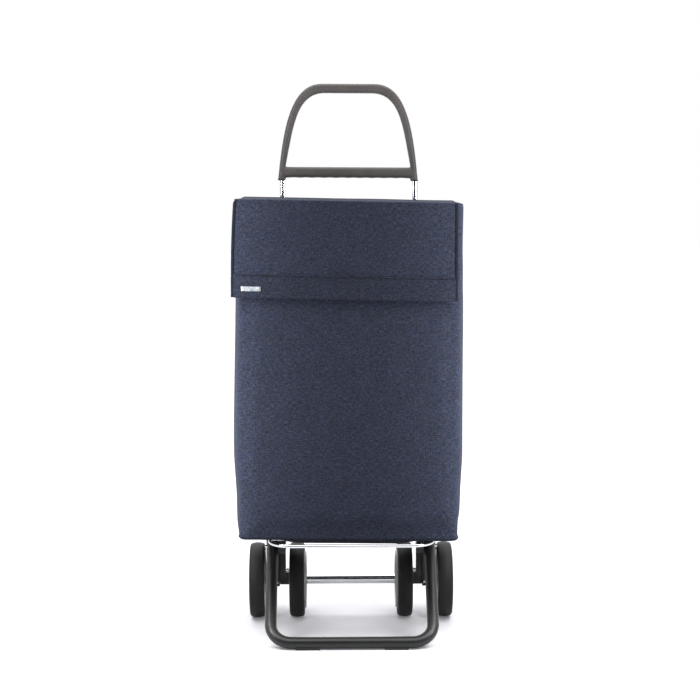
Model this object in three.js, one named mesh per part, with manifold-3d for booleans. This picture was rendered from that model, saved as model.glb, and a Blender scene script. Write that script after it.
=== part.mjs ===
// A folding shopping trolley: moulded handle on two tubes, fabric bag with a lid, folding wire
// platform and tube stand, two outer wheels, and two inner wheels on a carrier that swings back.
// Millimetres, +Z up, +X to one side, the bag in front of the tubes towards -Y.
// The origin is on the floor, under the centre of the whole trolley.
import * as THREE from "three";
import { mergeVertices } from "three/addons/utils/BufferGeometryUtils.js";
import Module from "manifold-3d";

const wasm = await Module();
wasm.setup();

// Driving dimensions. "Ahead" is the distance in front of the plane of the two main tubes.
const TUBE_Y = 76;
const GAP = 0.3;
const WHEEL_RADIUS = 74;
const TYRE_WIDTH = 29.4;
const HUB_RADIUS = 59;
const OUTER_WHEEL_X = 184.7;
const INNER_WHEEL_X = 106.2;
const AXLE_RADIUS = 5;
const OUTER_AXLE = { ahead: -12, z: WHEEL_RADIUS };
const AXLE_END = 198;
const CAP_RADIUS = 13;

const TUBE_X = 128;
const TUBE_RADIUS = 6.5;
const TUBE_WALL = 1.2;
const TUBE_BOTTOM = 184;
const UPPER_BAR_Z = 790;
const LOWER_BAR_Z = 218;
const LOWER_BAR_RADIUS = 7;
const CLIP_BOTTOM = 800;
const CLIP_TOP = 822;

const HANDLE_BOTTOM = 864;
const HANDLE_TOP = 1048;
const HANDLE_DEPTH = 24;
const GRIP_BAR_TOP = 889;
const GRIP_BAR_BOTTOM = 868;
const HANDLE_FOOT_HALF_WIDTH = 135;

const BAG_HALF_WIDTH = 205;
const BAG_BACK = 12;
const BAG_FRONT = 230;
const BAG_BOTTOM = 203;
const BAG_TOP = 825.6;
const FABRIC = 3;

const LID_TOP = 829;
const LID_EAR_BOTTOM = 770;
const FLAP_HALF_WIDTH = 209.5;
const FLAP_FRONT = 237;
const HEM_TOP = 694;
const HEM_BOTTOM = 651;

const BRACKET_INNER = 119;
const BRACKET_BOTTOM = 64;
const BRACKET_TOP = 199;
const CHEEK_INNER = 141;
const CHEEK_OUTER = 165;
const EAR_INNER = 127;
const SOCKET_TOP = 240;
const AXLE_SCREW_X = 144.5;
const AXLE_SCREW_RADIUS = 2.6;

const PLATFORM_HINGE = { ahead: 40, z: 194.2 };
const WIRE_RADIUS = 3.5;
const WIRE_X = 152.3;
const WIRE_FRONT = 225;
const WIRE_CORNER = 44;
const RUNG_RADIUS = 2.5;
const RUNGS = [["front", 165], ["rear", 100]];
const BOARD_THICKNESS = 3.5;

const STAND_PIVOT = { ahead: 62, z: 158 };
const STAND_X = 152;
const STAND_RADIUS = 11;
const STAND_WALL = 1.5;
const STAND_BAR = { ahead: 227, z: 12 };
const STAND_CORNER = 40;
const STAND_PIN_RADIUS = 3;
const GLIDE_X = [60, 105];

const CARRIER_PIVOT = { ahead: -2, z: 160 };
const INNER_AXLE = { ahead: -12, z: WHEEL_RADIUS + 0.4 };
const ARM_INNER = 129;
const ARM_OUTER = 140.4;
const ARM_BOSS_INNER = 122.4;
const STOP_PIN = { ahead: 5, z: 98 };
const STOP_PIN_RADIUS = 2.5;
const SLEEVE_RADIUS = 9.7;

const SIDES = [
  { name: "left", sign: -1 },
  { name: "right", sign: 1 },
];

const FABRIC_BLUE = { color: 0x2e3a55, roughness: 0.95, metalness: 0 };
const HEM_BLUE = { color: 0x29344d, roughness: 0.95, metalness: 0 };
const HANDLE_GREY = { color: 0x4a4644, roughness: 0.6, metalness: 0 };
const BLACK_PLASTIC = { color: 0x171717, roughness: 0.55, metalness: 0 };
const STAND_BLACK = { color: 0x232423, roughness: 0.4, metalness: 0.2 };
const RUBBER = { color: 0x1d1d1e, roughness: 0.85, metalness: 0 };
const HUB_GREY = { color: 0xc9cac8, roughness: 0.45, metalness: 0 };
const BRIGHT_TUBE = { color: 0xd4d6d8, roughness: 0.2, metalness: 1 };
const BOARD_BLACK = { color: 0x202020, roughness: 0.8, metalness: 0 };

const ahead = (distance) => TUBE_Y - distance;
const trolley = new THREE.Group();

function addPart(name, geometry, finish, parent = trolley) {
  const mesh = new THREE.Mesh(geometry, new THREE.MeshStandardMaterial(finish));
  mesh.name = name;
  parent.add(mesh);
  return mesh;
}

// Booleans on closed geometries.
function toSolid(geometry) {
  const bare = geometry.clone();
  bare.deleteAttribute("normal");
  bare.deleteAttribute("uv");
  const merged = mergeVertices(bare, 1e-4);
  return new wasm.Manifold(new wasm.Mesh({
    numProp: 3,
    vertProperties: new Float32Array(merged.attributes.position.array),
    triVerts: new Uint32Array(merged.index.array),
  }));
}

function toGeometry(solid) {
  const mesh = solid.getMesh();
  const geometry = new THREE.BufferGeometry();
  geometry.setAttribute("position", new THREE.BufferAttribute(mesh.vertProperties, 3));
  geometry.setIndex(new THREE.BufferAttribute(mesh.triVerts, 1));
  geometry.computeVertexNormals();
  return geometry;
}

function carve(base, additions, cuts) {
  let solid = toSolid(base);
  for (const addition of additions) {
    solid = solid.add(toSolid(addition));
  }
  for (const cut of cuts) {
    solid = solid.subtract(toSolid(cut));
  }
  return toGeometry(solid);
}

// A block between two X values, two distances ahead of the tubes and two heights.
function block(x, distance, z) {
  const size = [x[1] - x[0], distance[1] - distance[0], z[1] - z[0]];
  const geometry = new THREE.BoxGeometry(...size);
  const centre = [(x[0] + x[1]) / 2, ahead((distance[0] + distance[1]) / 2), (z[0] + z[1]) / 2];
  return geometry.translate(...centre);
}

// A round rod along X between two X values, centred on a place {ahead, z}.
function rodAlongX(radius, x, place, segments = 16) {
  const geometry = new THREE.CylinderGeometry(radius, radius, x[1] - x[0], segments);
  geometry.rotateZ(Math.PI / 2);
  return geometry.translate((x[0] + x[1]) / 2, ahead(place.ahead), place.z);
}

function rodAlongZ(radius, x, z, segments = 16) {
  const geometry = new THREE.CylinderGeometry(radius, radius, z[1] - z[0], segments);
  geometry.rotateX(Math.PI / 2);
  return geometry.translate(x, TUBE_Y, (z[0] + z[1]) / 2);
}

function rodAlongY(radius, x, distance, z, segments = 16) {
  const geometry = new THREE.CylinderGeometry(radius, radius, distance[1] - distance[0], segments);
  return geometry.translate(x, ahead((distance[0] + distance[1]) / 2), z);
}

// A side profile, drawn as (ahead, z), extruded along X.
function profileAlongX(shape, x) {
  const geometry = new THREE.ExtrudeGeometry(shape, {
    depth: x[1] - x[0],
    bevelEnabled: false,
    curveSegments: 8,
  });
  geometry.applyMatrix4(new THREE.Matrix4().makeBasis(
    new THREE.Vector3(0, -1, 0),
    new THREE.Vector3(0, 0, 1),
    new THREE.Vector3(-1, 0, 0),
  ));
  return geometry.translate(x[1], TUBE_Y, 0);
}

// Mirrors a pair of X limits onto one side of the trolley.
function spanOn(sign, inner, outer) {
  return sign > 0 ? [inner, outer] : [-outer, -inner];
}

// A path through corner points, with an arc of the given radius at each inner corner.
function roundedPath(corners, radius) {
  const path = new THREE.CurvePath();
  let start = corners[0];
  for (let i = 1; i < corners.length - 1; i += 1) {
    const corner = corners[i];
    const back = corners[i - 1].clone().sub(corner).normalize();
    const onward = corners[i + 1].clone().sub(corner).normalize();
    const halfAngle = back.angleTo(onward) / 2;
    const setback = radius / Math.tan(halfAngle);
    const turn = Math.PI - 2 * halfAngle;
    const handle = (4 / 3) * Math.tan(turn / 4) * radius;
    const arcStart = corner.clone().addScaledVector(back, setback);
    const arcEnd = corner.clone().addScaledVector(onward, setback);
    path.add(new THREE.LineCurve3(start, arcStart));
    path.add(new THREE.CubicBezierCurve3(
      arcStart,
      arcStart.clone().addScaledVector(back, -handle),
      arcEnd.clone().addScaledVector(onward, -handle),
      arcEnd,
    ));
    start = arcEnd;
  }
  path.add(new THREE.LineCurve3(start, corners[corners.length - 1]));
  return path;
}

function circlePoints(radius, sides) {
  return Array.from({ length: sides }, (_, i) => {
    const angle = (2 * Math.PI * i) / sides;
    return new THREE.Vector2(radius * Math.cos(angle), radius * Math.sin(angle));
  });
}

function ringShape(radius, boreRadius, sides) {
  const shape = new THREE.Shape(circlePoints(radius, sides));
  if (boreRadius > 0) {
    shape.holes.push(new THREE.Path(circlePoints(boreRadius, sides)));
  }
  return shape;
}

function sweep(path, shape, steps) {
  return new THREE.ExtrudeGeometry(shape, { steps, extrudePath: path, bevelEnabled: false });
}

// Handle: a D-shaped loop with a finger-shaped grip bar, and a spigot down into each tube.
function handleGrip() {
  const outline = new THREE.Shape();
  outline.moveTo(-HANDLE_FOOT_HALF_WIDTH, HANDLE_BOTTOM);
  outline.bezierCurveTo(-126.4, 947.3, -115.6, HANDLE_TOP, -51, HANDLE_TOP);
  outline.lineTo(51, HANDLE_TOP);
  outline.bezierCurveTo(115.6, HANDLE_TOP, 126.4, 947.3, HANDLE_FOOT_HALF_WIDTH, HANDLE_BOTTOM);
  outline.lineTo(121, HANDLE_BOTTOM);
  outline.lineTo(119, GRIP_BAR_BOTTOM);
  const scallops = 10;
  const pitch = 2 * 115 / scallops;
  for (let i = 0; i < scallops; i += 1) {
    const x = 115 - i * pitch;
    outline.lineTo(x, GRIP_BAR_BOTTOM - 0.4);
    outline.quadraticCurveTo(x - pitch / 2, GRIP_BAR_BOTTOM + 1.6, x - pitch, GRIP_BAR_BOTTOM - 0.4);
  }
  outline.lineTo(-119, GRIP_BAR_BOTTOM);
  outline.lineTo(-121, HANDLE_BOTTOM);
  outline.closePath();

  const innerTop = 1030;
  const loop = new THREE.Path();
  loop.moveTo(-120.5, GRIP_BAR_TOP);
  loop.lineTo(120.5, GRIP_BAR_TOP);
  loop.bezierCurveTo(105.6, 965.5, 100.1, innerTop, 45, innerTop);
  loop.lineTo(-45, innerTop);
  loop.bezierCurveTo(-100.1, innerTop, -105.6, 965.5, -120.5, GRIP_BAR_TOP);
  outline.holes.push(loop);

  const bevel = 3;
  const plate = new THREE.ExtrudeGeometry(outline, {
    depth: HANDLE_DEPTH - 2 * bevel,
    bevelThickness: bevel,
    bevelSize: bevel * 0.6,
    bevelOffset: -bevel * 0.6,
    bevelSegments: 1,
    curveSegments: 10,
  });
  plate.rotateX(Math.PI / 2);
  plate.translate(0, TUBE_Y + HANDLE_DEPTH / 2 - bevel, 0);
  const spigotRadius = TUBE_RADIUS - TUBE_WALL - GAP;
  const spigots = SIDES.map(({ sign }) => (
    rodAlongZ(spigotRadius, sign * TUBE_X, [HANDLE_BOTTOM - 30, HANDLE_BOTTOM + 8])
  ));
  return carve(plate, spigots, []);
}

function mainTube(sign) {
  const outer = rodAlongZ(TUBE_RADIUS, sign * TUBE_X, [TUBE_BOTTOM, HANDLE_BOTTOM - GAP]);
  const bore = rodAlongZ(TUBE_RADIUS - TUBE_WALL, sign * TUBE_X, [TUBE_BOTTOM - 5, HANDLE_BOTTOM + 5]);
  return carve(outer, [], [bore]);
}

// Bracket: a socket for the tube, a cheek down to the outer axle, and an ear for the two folds.
function bracket(sign) {
  const axle = OUTER_AXLE.ahead;
  const cheekShape = new THREE.Shape();
  cheekShape.moveTo(axle - 15, BRACKET_BOTTOM);
  cheekShape.lineTo(axle + 17, BRACKET_BOTTOM);
  cheekShape.lineTo(axle + 26, 90);
  cheekShape.lineTo(43, 138);
  cheekShape.lineTo(43, 181);
  cheekShape.lineTo(33, 181);
  cheekShape.lineTo(33, BRACKET_TOP);
  cheekShape.lineTo(axle - 15, BRACKET_TOP);
  cheekShape.closePath();
  const cheek = profileAlongX(cheekShape, spanOn(sign, CHEEK_INNER, CHEEK_OUTER));

  const earTop = BRACKET_TOP + 2;
  const earShape = new THREE.Shape();
  earShape.moveTo(22, 150);
  earShape.lineTo(48, 143);
  earShape.absarc(STAND_PIVOT.ahead, STAND_PIVOT.z, 15, -Math.PI / 2, Math.PI / 4, false);
  earShape.lineTo(56, earTop);
  earShape.lineTo(22, earTop);
  earShape.closePath();
  const ear = profileAlongX(earShape, spanOn(sign, EAR_INNER, CHEEK_INNER - 1));
  const web = block(spanOn(sign, CHEEK_INNER - 2, CHEEK_INNER + 1), [22, 32], [152, BRACKET_TOP]);
  const socketX = spanOn(sign, BRACKET_INNER, CHEEK_INNER + 1);
  const socket = block(socketX, [-11, 9.4], [175, SOCKET_TOP]);

  const hole = spanOn(sign, 110, 170);
  return carve(cheek, [ear, web, socket], [
    rodAlongZ(TUBE_RADIUS + GAP, sign * TUBE_X, [TUBE_BOTTOM - GAP, SOCKET_TOP + 5]),
    rodAlongX(AXLE_RADIUS + GAP, hole, OUTER_AXLE),
    rodAlongX(AXLE_RADIUS + GAP, hole, CARRIER_PIVOT),
    rodAlongX(STAND_PIN_RADIUS + GAP, spanOn(sign, 120, 145), STAND_PIVOT),
    rodAlongX(WIRE_RADIUS + GAP, spanOn(sign, 120, 145), PLATFORM_HINGE),
    rodAlongY(AXLE_SCREW_RADIUS + GAP, sign * AXLE_SCREW_X, [axle, axle + 40], OUTER_AXLE.z),
  ]);
}

function addFrame() {
  addPart("handle_grip", handleGrip(), HANDLE_GREY);
  const upperEnd = TUBE_X - TUBE_RADIUS - 0.4;
  const upperBar = rodAlongX(AXLE_RADIUS, [-upperEnd, upperEnd], { ahead: 0, z: UPPER_BAR_Z });
  addPart("upper_crossbar", upperBar, BRIGHT_TUBE);
  const lowerEnd = BRACKET_INNER - GAP;
  const lowerPlace = { ahead: 0, z: LOWER_BAR_Z };
  addPart("lower_crossbar", rodAlongX(LOWER_BAR_RADIUS, [-lowerEnd, lowerEnd], lowerPlace), BRIGHT_TUBE);
  for (const { name, sign } of SIDES) {
    addPart(`tube_${name}`, mainTube(sign), BRIGHT_TUBE);
    addPart(`bracket_${name}`, bracket(sign), BLACK_PLASTIC);
    const clip = carve(
      block(spanOn(sign, TUBE_X - 9.5, TUBE_X + 9.5), [-9.5, 11.4], [CLIP_BOTTOM, CLIP_TOP]),
      [],
      [rodAlongZ(TUBE_RADIUS + GAP, sign * TUBE_X, [CLIP_BOTTOM - 5, CLIP_TOP + 5])],
    );
    addPart(`hanger_clip_${name}`, clip, BLACK_PLASTIC);
    addOuterAxle(name, sign);
    const carrierPin = carve(
      rodAlongX(AXLE_RADIUS, spanOn(sign, ARM_INNER - 2, CHEEK_OUTER - 1), CARRIER_PIVOT),
      [rodAlongX(8, spanOn(sign, ARM_INNER - 2.5, ARM_INNER - GAP), CARRIER_PIVOT)],
      [],
    );
    addPart(`carrier_pin_${name}`, carrierPin, BRIGHT_TUBE);
    const standPin = rodAlongX(STAND_PIN_RADIUS, spanOn(sign, EAR_INNER, 167), STAND_PIVOT);
    addPart(`stand_pin_${name}`, standPin, BRIGHT_TUBE);
  }
}

// A stub axle with its spacer, its end cap in the wheel's recess and the screw that locks it.
function addOuterAxle(name, sign) {
  const axle = rodAlongX(AXLE_RADIUS, spanOn(sign, CHEEK_INNER + 0.5, AXLE_END), OUTER_AXLE);
  addPart(`axle_${name}`, axle, BRIGHT_TUBE);
  const spacerEnd = OUTER_WHEEL_X - TYRE_WIDTH / 2 - 1.3;
  const spacer = ringAlongX(8.5, spanOn(sign, CHEEK_OUTER + GAP, spacerEnd), OUTER_AXLE);
  addPart(`axle_spacer_${name}`, spacer, BLACK_PLASTIC);
  const cap = carve(
    rodAlongX(CAP_RADIUS, spanOn(sign, AXLE_END - 4.5, AXLE_END + 1.5), OUTER_AXLE, 24),
    [],
    [rodAlongX(AXLE_RADIUS + GAP, spanOn(sign, AXLE_END - 5, AXLE_END + GAP), OUTER_AXLE)],
  );
  addPart(`axle_cap_${name}`, cap, BLACK_PLASTIC);
  const screwEnds = [OUTER_AXLE.ahead + AXLE_RADIUS + GAP, OUTER_AXLE.ahead + 25];
  const screw = rodAlongY(AXLE_SCREW_RADIUS, sign * AXLE_SCREW_X, screwEnds, OUTER_AXLE.z);
  addPart(`axle_screw_${name}`, screw, BRIGHT_TUBE);
}

function ringAlongX(radius, x, place) {
  const bore = rodAlongX(AXLE_RADIUS + GAP, [x[0] - 1, x[1] + 1], place);
  return carve(rodAlongX(radius, x, place, 24), [], [bore]);
}

// Bag: five flat panels of an open box, which hold the shopping.
function addBag() {
  const sideDepth = [BAG_BACK + FABRIC + GAP, BAG_FRONT - FABRIC - GAP];
  const width = [-BAG_HALF_WIDTH, BAG_HALF_WIDTH];
  const wallBottom = BAG_BOTTOM + FABRIC + GAP;
  const depth = [BAG_BACK, BAG_FRONT];
  addPart("bag_bottom", block(width, depth, [BAG_BOTTOM, BAG_BOTTOM + FABRIC]), FABRIC_BLUE);
  const front = block(width, [BAG_FRONT - FABRIC, BAG_FRONT], [wallBottom, BAG_TOP]);
  addPart("bag_front", front, FABRIC_BLUE);
  const back = block(width, [BAG_BACK, BAG_BACK + FABRIC], [wallBottom, BAG_TOP]);
  addPart("bag_back", back, FABRIC_BLUE);
  for (const { name, sign } of SIDES) {
    const sideX = spanOn(sign, BAG_HALF_WIDTH - FABRIC, BAG_HALF_WIDTH);
    addPart(`bag_side_${name}`, block(sideX, sideDepth, [wallBottom, BAG_TOP]), FABRIC_BLUE);
  }
}

// Platform: a wire loop hinged in the ears, two rungs and the bag's stiff base board.
function addPlatform() {
  const hingeY = ahead(PLATFORM_HINGE.ahead);
  const z = PLATFORM_HINGE.z;
  const corners = [
    new THREE.Vector3(-WIRE_X, hingeY, z),
    new THREE.Vector3(-WIRE_X, ahead(WIRE_FRONT), z),
    new THREE.Vector3(WIRE_X, ahead(WIRE_FRONT), z),
    new THREE.Vector3(WIRE_X, hingeY, z),
  ];
  const loop = sweep(roundedPath(corners, WIRE_CORNER), ringShape(WIRE_RADIUS, 0, 10), 44);
  const ends = SIDES.map(({ sign }) => (
    rodAlongX(WIRE_RADIUS, spanOn(sign, 125, WIRE_X + WIRE_RADIUS), PLATFORM_HINGE, 12)
  ));
  addPart("platform_loop", carve(loop, ends, []), BRIGHT_TUBE);

  const rungEnd = WIRE_X - WIRE_RADIUS - GAP;
  for (const [name, distance] of RUNGS) {
    const rung = rodAlongX(RUNG_RADIUS, [-rungEnd, rungEnd], { ahead: distance, z }, 10);
    addPart(`platform_rung_${name}`, rung, BRIGHT_TUBE);
  }
  const boardX = BAG_HALF_WIDTH - FABRIC - 5;
  const boardBottom = BAG_BOTTOM + FABRIC + 0.5;
  const boardZ = [boardBottom, boardBottom + BOARD_THICKNESS];
  addPart("base_board", block([-boardX, boardX], [52, BAG_FRONT - 6], boardZ), BOARD_BLACK);
}

// Stand: a tube bent into a U, which reaches forward and down to the floor.
function addStand() {
  const top = (sign) => new THREE.Vector3(sign * STAND_X, ahead(STAND_PIVOT.ahead), STAND_PIVOT.z);
  const foot = (sign) => new THREE.Vector3(sign * STAND_X, ahead(STAND_BAR.ahead), STAND_BAR.z);
  const legDirection = foot(1).sub(top(1)).normalize();
  const legEnd = (sign) => top(sign).addScaledVector(legDirection, -STAND_RADIUS);
  const path = roundedPath([legEnd(-1), foot(-1), foot(1), legEnd(1)], STAND_CORNER);
  const wall = ringShape(STAND_RADIUS, STAND_RADIUS - STAND_WALL, 12);
  const pinHole = rodAlongX(STAND_PIN_RADIUS + GAP, [-180, 180], STAND_PIVOT);
  addPart("stand_tube", carve(sweep(path, wall, 44), [], [pinHole]), STAND_BLACK);

  for (const { name, sign } of SIDES) {
    const plugEnd = top(sign).addScaledVector(legDirection, -STAND_RADIUS - 2);
    const plug = new THREE.CylinderGeometry(STAND_RADIUS, STAND_RADIUS, 1.7, 16);
    const upright = new THREE.Vector3(0, 1, 0);
    plug.applyQuaternion(new THREE.Quaternion().setFromUnitVectors(upright, legDirection));
    plug.translate(plugEnd.x, plugEnd.y, plugEnd.z);
    addPart(`stand_plug_${name}`, plug, BLACK_PLASTIC);

    const glideX = spanOn(sign, ...GLIDE_X);
    const glide = carve(
      block(glideX, [STAND_BAR.ahead - 9, STAND_BAR.ahead + 9], [0, STAND_BAR.z - 4]),
      [],
      [rodAlongX(STAND_RADIUS + GAP, [glideX[0] - 1, glideX[1] + 1], STAND_BAR, 28)],
    );
    addPart(`foot_glide_${name}`, glide, BLACK_PLASTIC);
  }
}

// Carrier: two arms hung beside the cheeks, which hold the inner wheels' axle.
function addCarrier() {
  for (const { name, sign } of SIDES) {
    const armShape = new THREE.Shape();
    armShape.absarc(CARRIER_PIVOT.ahead, CARRIER_PIVOT.z, 12, 0, Math.PI, false);
    armShape.absarc(INNER_AXLE.ahead, INNER_AXLE.z, 10.5, Math.PI, 2 * Math.PI, false);
    armShape.lineTo(STOP_PIN.ahead + 5, 92);
    armShape.closePath();
    const footShape = new THREE.Shape();
    footShape.absarc(INNER_AXLE.ahead, INNER_AXLE.z, 10.5, Math.PI, 2 * Math.PI, false);
    footShape.lineTo(STOP_PIN.ahead + 1, 92);
    footShape.lineTo(INNER_AXLE.ahead - 10.5, 92);
    footShape.closePath();
    const foot = profileAlongX(footShape, spanOn(sign, ARM_BOSS_INNER, ARM_INNER + 1));
    const hole = spanOn(sign, 110, 150);
    const arm = carve(profileAlongX(armShape, spanOn(sign, ARM_INNER, ARM_OUTER)), [foot], [
      rodAlongX(AXLE_RADIUS + GAP, hole, CARRIER_PIVOT),
      rodAlongX(AXLE_RADIUS + GAP, hole, INNER_AXLE),
      rodAlongX(STOP_PIN_RADIUS + GAP, hole, STOP_PIN),
    ]);
    addPart(`carrier_arm_${name}`, arm, BLACK_PLASTIC);
    const stop = carve(
      rodAlongX(STOP_PIN_RADIUS, spanOn(sign, 123, ARM_OUTER), STOP_PIN, 12),
      [rodAlongX(4, spanOn(sign, 123, 126), STOP_PIN, 12)],
      [],
    );
    addPart(`stop_pin_${name}`, stop, BRIGHT_TUBE);
  }
  addPart("inner_axle", rodAlongX(AXLE_RADIUS, [-ARM_OUTER, ARM_OUTER], INNER_AXLE), BRIGHT_TUBE);
  const sleeveEnd = INNER_WHEEL_X - TYRE_WIDTH / 2 - 3.5;
  addPart("inner_sleeve", ringAlongX(SLEEVE_RADIUS, [-sleeveEnd, sleeveEnd], INNER_AXLE), BRIGHT_TUBE);
}

// A wheel's section is drawn as (radius, distance along the axle) and turned about the axle.
function turned(points, segments, centre) {
  const profile = points.map(([radius, along]) => new THREE.Vector2(radius, along));
  const geometry = new THREE.LatheGeometry(profile, segments);
  geometry.rotateZ(-Math.PI / 2);
  return geometry.translate(...centre);
}

// The hub's boss reaches bossInner towards the trolley's middle and bossOuter away from it.
function addWheel(name, sign, x, place, bossInner, bossOuter) {
  const centre = [sign * x, ahead(place.ahead), place.z];
  const half = TYRE_WIDTH / 2;
  const bead = HUB_RADIUS + GAP;
  addPart(`tyre_${name}`, turned([
    [bead, -half],
    [WHEEL_RADIUS - 5, -half],
    [WHEEL_RADIUS - 1.4, -half + 2.6],
    [WHEEL_RADIUS, -half + 7],
    [WHEEL_RADIUS, half - 7],
    [WHEEL_RADIUS - 1.4, half - 2.6],
    [WHEEL_RADIUS - 5, half],
    [bead, half],
    [bead, -half],
  ], 36, centre), RUBBER);
  const rimInner = HUB_RADIUS - 8;
  const web = 4;
  const bore = AXLE_RADIUS + GAP;
  const bossLow = sign > 0 ? -bossInner : -bossOuter;
  const bossHigh = sign > 0 ? bossOuter : bossInner;
  addPart(`hub_${name}`, turned([
    [bore, bossLow],
    [14, bossLow],
    [14, -web],
    [rimInner, -web],
    [rimInner, -half],
    [HUB_RADIUS, -half + 1],
    [HUB_RADIUS, half - 1],
    [rimInner, half],
    [rimInner, web],
    [14, web],
    [14, bossHigh],
    [bore, bossHigh],
    [bore, bossLow],
  ], 28, centre), HUB_GREY);
}

// Lid: a top panel with side ears, and a flap that hangs over the bag's front.
function addLid() {
  const lidFront = FLAP_FRONT - FABRIC - GAP;
  const lidX = BAG_HALF_WIDTH + 3.5;
  const panel = block([-lidX, lidX], [BAG_BACK, lidFront], [LID_TOP - FABRIC, LID_TOP]);
  addPart("lid_panel", panel, FABRIC_BLUE);
  for (const { name, sign } of SIDES) {
    const earX = spanOn(sign, BAG_HALF_WIDTH + 0.5, lidX);
    const ear = block(earX, [BAG_BACK + 4, lidFront], [LID_EAR_BOTTOM, LID_TOP - FABRIC - GAP]);
    addPart(`lid_ear_${name}`, ear, FABRIC_BLUE);
  }
  const flapX = [-FLAP_HALF_WIDTH, FLAP_HALF_WIDTH];
  const flapDepth = [FLAP_FRONT - FABRIC, FLAP_FRONT];
  addPart("flap_panel", block(flapX, flapDepth, [HEM_TOP + GAP, LID_TOP]), FABRIC_BLUE);
  addPart("flap_hem", block(flapX, flapDepth, [HEM_BOTTOM, HEM_TOP]), HEM_BLUE);
}

addFrame();
addBag();
addPlatform();
addStand();
addCarrier();
for (const { name, sign } of SIDES) {
  addWheel(`outer_${name}`, sign, OUTER_WHEEL_X, OUTER_AXLE, TYRE_WIDTH / 2 + 1, 8);
  addWheel(`inner_${name}`, sign, INNER_WHEEL_X, INNER_AXLE, TYRE_WIDTH / 2 + 1, TYRE_WIDTH / 2 + 1);
}
addLid();

export default trolley;
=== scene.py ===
import math

import bmesh
import bpy
from mathutils import Euler, Matrix, Vector, noise


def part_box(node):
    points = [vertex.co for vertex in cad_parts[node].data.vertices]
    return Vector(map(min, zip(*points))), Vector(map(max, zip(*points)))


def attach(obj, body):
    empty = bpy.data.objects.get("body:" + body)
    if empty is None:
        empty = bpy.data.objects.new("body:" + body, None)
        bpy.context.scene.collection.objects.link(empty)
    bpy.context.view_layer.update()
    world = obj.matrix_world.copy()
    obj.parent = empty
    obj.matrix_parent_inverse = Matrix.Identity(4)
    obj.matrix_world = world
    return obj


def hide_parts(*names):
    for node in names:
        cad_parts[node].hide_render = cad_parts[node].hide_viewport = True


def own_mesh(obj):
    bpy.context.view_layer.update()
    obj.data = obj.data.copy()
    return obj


# A folding shopping trolley in metres, +Z up and the bag's front towards -Y, dressed around its
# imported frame. Places and sizes come from the frame's nodes where it has them; the rest are fitted.
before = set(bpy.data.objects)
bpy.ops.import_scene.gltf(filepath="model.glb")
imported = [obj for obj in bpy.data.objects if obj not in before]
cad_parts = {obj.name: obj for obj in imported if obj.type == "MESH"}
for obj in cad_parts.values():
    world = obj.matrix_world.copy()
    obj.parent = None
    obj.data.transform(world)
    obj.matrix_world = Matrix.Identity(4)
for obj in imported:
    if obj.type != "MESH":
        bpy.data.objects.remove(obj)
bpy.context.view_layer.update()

SIDES = {"left": -1, "right": 1}


def low(node):
    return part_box(node)[0]


def high(node):
    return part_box(node)[1]


def centre(node):
    return (low(node) + high(node)) / 2


def half_x(node):
    return (high(node).x - low(node).x) / 2


def half_z(node):
    return (high(node).z - low(node).z) / 2


AXLE_Y = centre("tube_left").y
BAG_BACK = high("bag_back").y
BAG_FRONT = low("bag_front").y
BAG_MIDDLE = (BAG_BACK + BAG_FRONT) / 2
BAG_HALF = high("bag_front").x
BAG_BOTTOM = low("bag_bottom").z
BAG_TOP = high("bag_front").z
LID_TOP = high("lid_panel").z
FLAP_FRONT = low("flap_panel").y
HEM_TOP = high("flap_hem").z
HEM_BOTTOM = low("flap_hem").z


# -------------------- materials

def material(name, color, roughness, metallic=0.0, **extra):
    made = bpy.data.materials.new(name)
    made.use_nodes = True
    shader = made.node_tree.nodes["Principled BSDF"]
    shader.inputs["Base Color"].default_value = (*color, 1)
    shader.inputs["Roughness"].default_value = roughness
    shader.inputs["Metallic"].default_value = metallic
    for socket, value in extra.items():
        shader.inputs[socket.replace("_", " ")].default_value = value
    return made


def node(made, kind, inputs=None, **settings):
    added = made.node_tree.nodes.new(kind)
    for key, value in settings.items():
        setattr(added, key, value)
    for key, value in (inputs or {}).items():
        socket = added.inputs[key]
        if isinstance(value, bpy.types.NodeSocket):
            made.node_tree.links.new(value, socket)
        else:
            socket.default_value = value
    return added


def link(made, output, socket):
    shader = made.node_tree.nodes["Principled BSDF"]
    made.node_tree.links.new(output, shader.inputs[socket])


def math_node(made, operation, *values):
    return node(made, "ShaderNodeMath", dict(enumerate(values)), operation=operation).outputs[0]


def uneven_gloss(made, pattern, amount, lowest):
    """Lets the roughness vary from its lowest value by an amount of the pattern."""
    link(made, math_node(made, "MULTIPLY_ADD", pattern, amount, lowest), "Roughness")


def ramp(made, factor, stops):
    made_ramp = node(made, "ShaderNodeValToRGB", {"Fac": factor})
    elements = made_ramp.color_ramp.elements
    while len(elements) < len(stops):
        elements.new(0.5)
    for element, (position, color) in zip(elements, stops):
        element.position = position
        element.color = (*color, 1)
    return made_ramp.outputs["Color"]


def coordinates(made, scale=(1, 1, 1)):
    source = node(made, "ShaderNodeTexCoord").outputs["Object"]
    return node(made, "ShaderNodeMapping", {"Vector": source, "Scale": scale}).outputs["Vector"]


def noise_value(made, vector, scale, detail=2.0, rough=0.5):
    return node(made, "ShaderNodeTexNoise",
                {"Vector": vector, "Scale": scale, "Detail": detail, "Roughness": rough}).outputs["Fac"]


def bump(made, height, strength, distance, under=None):
    inputs = {"Height": height, "Strength": strength, "Distance": distance}
    if under is not None:
        inputs["Normal"] = under
    return node(made, "ShaderNodeBump", inputs).outputs["Normal"]


def shade(color, factor):
    return tuple(c * factor for c in color)


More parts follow.
